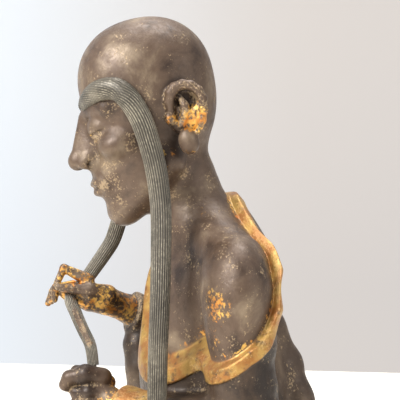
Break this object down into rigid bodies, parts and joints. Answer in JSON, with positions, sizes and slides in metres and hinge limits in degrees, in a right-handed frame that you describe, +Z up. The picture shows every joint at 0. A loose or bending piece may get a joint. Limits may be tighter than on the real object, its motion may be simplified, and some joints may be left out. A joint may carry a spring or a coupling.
{
  "type": "luohan figure",
  "caption": "Seated old monk with two very long trailing eyebrows, one drawn through his hands, cast in one piece with a low oval base.",
  "frame": {"origin": "on the ground under the middle of the base", "axes": "+Z up, the figure faces -Y, and its left side is +X"},
  "size_m": [0.3, 0.244, 0.419],
  "materials": {
    "lacquered_bronze": "dark brown lacquer over cast bronze, worn, with gilding left in the recesses"
  },
  "bodies": {
    "root": {"luohan_figure": "lacquered_bronze"}
  },
  "joints": []
}
